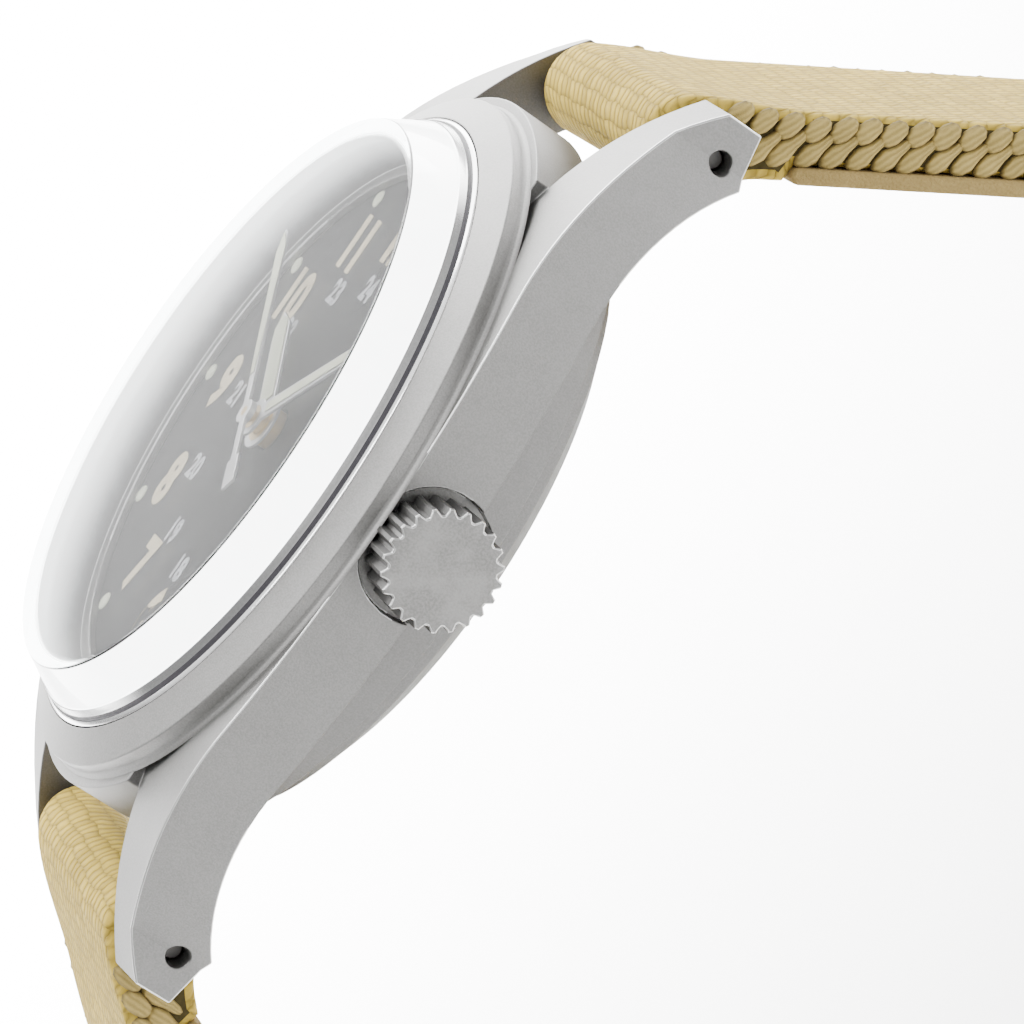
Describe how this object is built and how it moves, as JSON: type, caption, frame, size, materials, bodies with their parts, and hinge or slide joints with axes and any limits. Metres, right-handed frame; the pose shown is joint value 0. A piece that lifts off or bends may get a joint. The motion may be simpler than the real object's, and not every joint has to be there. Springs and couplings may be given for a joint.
{
  "type": "field watch",
  "caption": "Round matt steel wristwatch with drilled lugs, bevelled crystal, toothed crown, cream-numbered dark dial and an unbuckled khaki webbing strap standing open.",
  "frame": {"origin": "centre of the case back's outer face", "axes": "+Z out of the dial, +Y towards 12 o'clock, +X towards the crown at 3 o'clock; the open strap stands on the plane z = -56 mm"},
  "size_m": [0.0379, 0.0879, 0.0684],
  "materials": {
    "case_steel": "fine bead-blasted steel, matt, with a thin bright chamfer line on its edges",
    "polished_steel": "smooth bright steel",
    "crystal": "clear, polished, with a wide bevel",
    "dial_charcoal": "fine matt charcoal lacquer with printed cream numerals and pale dots",
    "hand_steel": "bright steel frame round a cream filling",
    "movement_brass": "fine brushed brass",
    "movement_plate": "nickel-plated brass, fine grain",
    "webbing": "khaki ribbed webbing with plaited selvedges",
    "lining": "thin lighter tan backing"
  },
  "bodies": {
    "case": {"mid_case": "case_steel", "bezel": "case_steel", "crystal": "crystal", "dial": "dial_charcoal", "case_back": "case_steel", "crown_tube": "polished_steel", "mainplate": "movement_plate", "barrel_bridge": "movement_plate", "train_bridge": "movement_plate", "balance_cock": "movement_plate", "pallet_bridge": "movement_plate", "hairspring": "polished_steel", "spring_bar_12": "polished_steel", "spring_bar_6": "polished_steel"},
    "seconds": {"seconds_hand": "hand_steel", "fourth_wheel": "movement_brass"},
    "minutes": {"minute_hand": "hand_steel", "cannon_pinion": "movement_brass", "centre_wheel": "movement_brass"},
    "hours": {"hour_hand": "hand_steel", "hour_wheel": "movement_brass"},
    "minute_wheel": {"minute_wheel": "movement_brass"},
    "third_wheel": {"third_wheel": "movement_brass"},
    "escape_wheel": {"escape_wheel": "polished_steel"},
    "barrel": {"barrel": "movement_brass"},
    "pallet_fork": {"pallet_fork": "polished_steel"},
    "balance": {"balance_wheel": "movement_brass"},
    "click": {"click": "polished_steel"},
    "winding": {"winding_pinion": "polished_steel"},
    "crown": {"crown": "case_steel", "stem": "polished_steel"},
    "sliding_pinion": {"sliding_pinion": "polished_steel"},
    "setting_lever": {"setting_lever": "polished_steel"},
    "ratchet": {"ratchet_wheel": "polished_steel", "barrel_arbor": "polished_steel"},
    "crown_wheel": {"crown_wheel": "polished_steel"},
    "bar_tip_12_crown_side": {"bar_tip_12_crown_side": "polished_steel"},
    "bar_tip_12_far_side": {"bar_tip_12_far_side": "polished_steel"},
    "bar_tip_6_crown_side": {"bar_tip_6_crown_side": "polished_steel"},
    "bar_tip_6_far_side": {"bar_tip_6_far_side": "polished_steel"},
    "strap_12": {"strap_12_webbing": "webbing", "strap_12_lining": "lining", "fixed_keeper": "webbing"},
    "strap_6": {"strap_6_webbing": "webbing", "strap_6_lining": "lining"},
    "free_keeper": {"free_keeper": "webbing"},
    "buckle": {"buckle_frame": "case_steel", "buckle_bar": "polished_steel"},
    "buckle_tongue": {"buckle_tongue": "case_steel"}
  },
  "joints": [
    {"name": "seconds_spin", "type": "hinge", "parent": "case", "child": "seconds", "pos_m": [0, 0, 0], "axis": [0, 0, 1], "continuous": true},
    {"name": "minutes_spin", "type": "hinge", "parent": "case", "child": "minutes", "pos_m": [0, 0, 0], "axis": [0, 0, 1], "continuous": true},
    {"name": "hours_spin", "type": "hinge", "parent": "case", "child": "hours", "pos_m": [0, 0, 0], "axis": [0, 0, 1], "continuous": true},
    {"name": "minute_wheel_spin", "type": "hinge", "parent": "case", "child": "minute_wheel", "pos_m": [0.00253, 0.00212, 0], "axis": [0, 0, 1], "continuous": true},
    {"name": "third_wheel_spin", "type": "hinge", "parent": "case", "child": "third_wheel", "pos_m": [-0.00399, -0.00145, 0], "axis": [0, 0, 1], "continuous": true},
    {"name": "escape_wheel_spin", "type": "hinge", "parent": "case", "child": "escape_wheel", "pos_m": [-0.00069, -0.00389, 0], "axis": [0, 0, 1], "continuous": true},
    {"name": "barrel_spin", "type": "hinge", "parent": "case", "child": "barrel", "pos_m": [0.00151, 0.00565, 0], "axis": [0, 0, 1], "continuous": true},
    {"name": "pallet_fork_rock", "type": "hinge", "parent": "case", "child": "pallet_fork", "pos_m": [0.00135, -0.00585, 0], "axis": [0, 0, 1], "range_deg": [-5, 5]},
    {"name": "balance_swing", "type": "hinge", "parent": "case", "child": "balance", "pos_m": [0.0041, -0.0071, 0], "axis": [0, 0, 1], "range_deg": [-270, 270]},
    {"name": "click_release", "type": "hinge", "parent": "case", "child": "click", "pos_m": [-0.00365, 0.0069, 0], "axis": [0, 0, 1], "range_deg": [-20, 0]},
    {"name": "crown_spin", "type": "hinge", "parent": "case", "child": "winding", "pos_m": [0, 0, 0.0047], "axis": [1, 0, 0], "continuous": true},
    {"name": "crown_pull", "type": "slide", "parent": "winding", "child": "crown", "axis": [1, 0, 0], "range_m": [0, 0.001]},
    {"name": "sliding_pinion_shift", "type": "slide", "parent": "winding", "child": "sliding_pinion", "axis": [1, 0, 0], "range_m": [-0.00082, 0]},
    {"name": "setting_lever_swing", "type": "hinge", "parent": "case", "child": "setting_lever", "pos_m": [0.01135, 0.00214, 0], "axis": [0, 0, 1], "range_deg": [0, 26.5]},
    {"name": "ratchet_spin", "type": "hinge", "parent": "case", "child": "ratchet", "pos_m": [0.00151, 0.00565, 0], "axis": [0, 0, 1], "continuous": true},
    {"name": "crown_wheel_spin", "type": "hinge", "parent": "case", "child": "crown_wheel", "pos_m": [0.0086, 0.0037, 0], "axis": [0, 0, 1], "continuous": true},
    {"name": "bar_tip_12_crown_side_press", "type": "slide", "parent": "case", "child": "bar_tip_12_crown_side", "axis": [-1, 0, 0], "range_m": [0, 0.00185]},
    {"name": "bar_tip_12_far_side_press", "type": "slide", "parent": "case", "child": "bar_tip_12_far_side", "axis": [1, 0, 0], "range_m": [0, 0.00185]},
    {"name": "bar_tip_6_crown_side_press", "type": "slide", "parent": "case", "child": "bar_tip_6_crown_side", "axis": [-1, 0, 0], "range_m": [0, 0.00185]},
    {"name": "bar_tip_6_far_side_press", "type": "slide", "parent": "case", "child": "bar_tip_6_far_side", "axis": [1, 0, 0], "range_m": [0, 0.00185]},
    {"name": "strap_12_swing", "type": "hinge", "parent": "case", "child": "strap_12", "pos_m": [0, 0.02097, 0.0016], "axis": [1, 0, 0], "range_deg": [-3, 75]},
    {"name": "strap_6_swing", "type": "hinge", "parent": "case", "child": "strap_6", "pos_m": [0, -0.02097, 0.0016], "axis": [-1, 0, 0], "range_deg": [-3, 75]},
    {"name": "free_keeper_slide", "type": "slide", "parent": "strap_12", "child": "free_keeper", "axis": [0, -0.5, 0.866], "range_m": [0, 0.018]},
    {"name": "buckle_swing", "type": "hinge", "parent": "strap_12", "child": "buckle", "pos_m": [0, 0.01488, -0.0497], "axis": [1, 0, 0], "range_deg": [-60, 25]},
    {"name": "buckle_tongue_swing", "type": "hinge", "parent": "buckle", "child": "buckle_tongue", "pos_m": [0, 0.01488, -0.0497], "axis": [1, 0, 0], "range_deg": [0, 35]}
  ],
  "couplings": [
    {"joint": "minutes_spin", "follows": "seconds_spin", "ratio": 0.016667},
    {"joint": "hours_spin", "follows": "seconds_spin", "ratio": 0.0013889},
    {"joint": "minute_wheel_spin", "follows": "seconds_spin", "ratio": -0.0055556},
    {"joint": "third_wheel_spin", "follows": "seconds_spin", "ratio": -0.125},
    {"joint": "escape_wheel_spin", "follows": "seconds_spin", "ratio": -10},
    {"joint": "barrel_spin", "follows": "seconds_spin", "ratio": -0.0025641},
    {"joint": "crown_wheel_spin", "follows": "crown_spin", "ratio": -0.66667},
    {"joint": "ratchet_spin", "follows": "crown_spin", "ratio": 0.4},
    {"joint": "sliding_pinion_shift", "follows": "crown_pull", "ratio": -0.8},
    {"joint": "setting_lever_swing", "follows": "crown_pull", "rad_per_m": 458.6}
  ]
}
